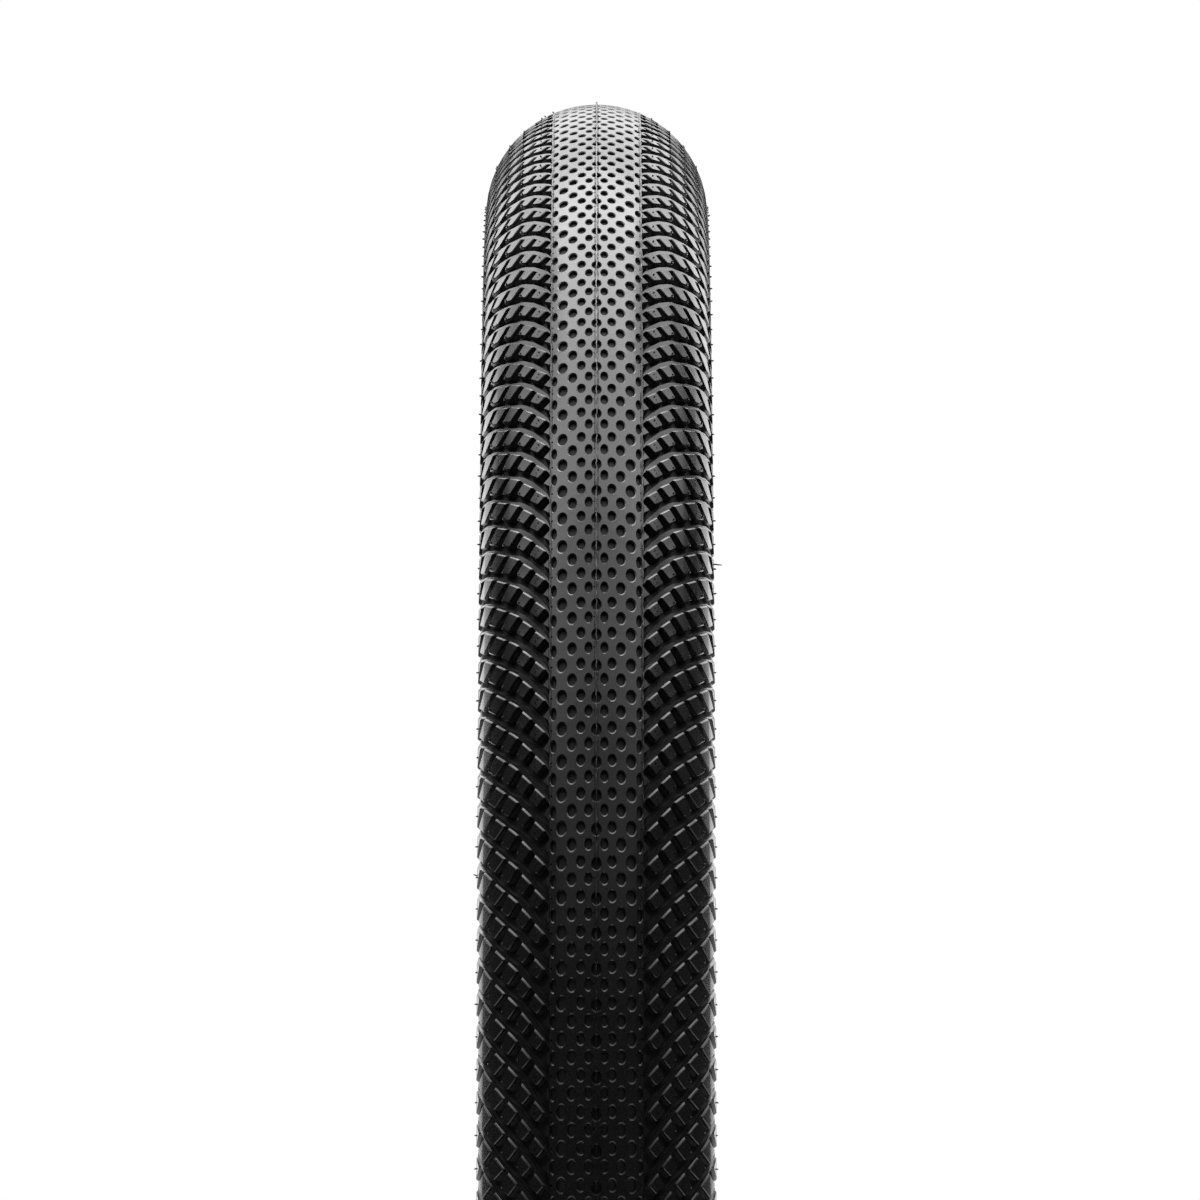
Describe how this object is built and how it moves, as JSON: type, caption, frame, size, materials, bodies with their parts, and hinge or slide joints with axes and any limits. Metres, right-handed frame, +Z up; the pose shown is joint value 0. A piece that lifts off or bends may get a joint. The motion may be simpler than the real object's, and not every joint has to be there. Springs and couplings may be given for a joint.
{
  "type": "bicycle tire",
  "caption": "Round-section knobbly bicycle tire with a dimpled centre band and diagonal rows of rhombic shoulder knobs, on a wired two-ply casing.",
  "frame": {"origin": "centre of the tire, on the wheel's axle and midway between the beads", "axes": "+Y along the axle, towards the side that is on the right when the tread is seen from +X; +Z up with the tire standing as on a wheel; +X out of the front of the tread"},
  "size_m": [0.4906, 0.0468, 0.4906],
  "materials": {
    "tread_rubber": "satin black moulded rubber with a slight sheen",
    "sidewall_rubber": "matt black moulded rubber, the cords of the casing just showing",
    "ply_cord": "rubbered nylon cord, dull grey-brown",
    "breaker_cord": "rubbered woven strip, pale brown",
    "chafer_cloth": "rubbered square-woven cloth, dull black",
    "filler_rubber": "matt black rubber",
    "bead_steel": "bronze-plated steel wire"
  },
  "bodies": {
    "root": {"tread_centre": "tread_rubber", "tread_shoulder_right": "tread_rubber", "tread_shoulder_left": "tread_rubber", "breaker": "breaker_cord", "casing_outer_ply": "ply_cord", "casing_inner_ply": "ply_cord", "sidewall_right": "sidewall_rubber", "sidewall_left": "sidewall_rubber", "chafer_right": "chafer_cloth", "chafer_left": "chafer_cloth", "bead_filler_right": "filler_rubber", "bead_filler_left": "filler_rubber", "bead_core_right": "bead_steel", "bead_core_left": "bead_steel"}
  },
  "joints": []
}
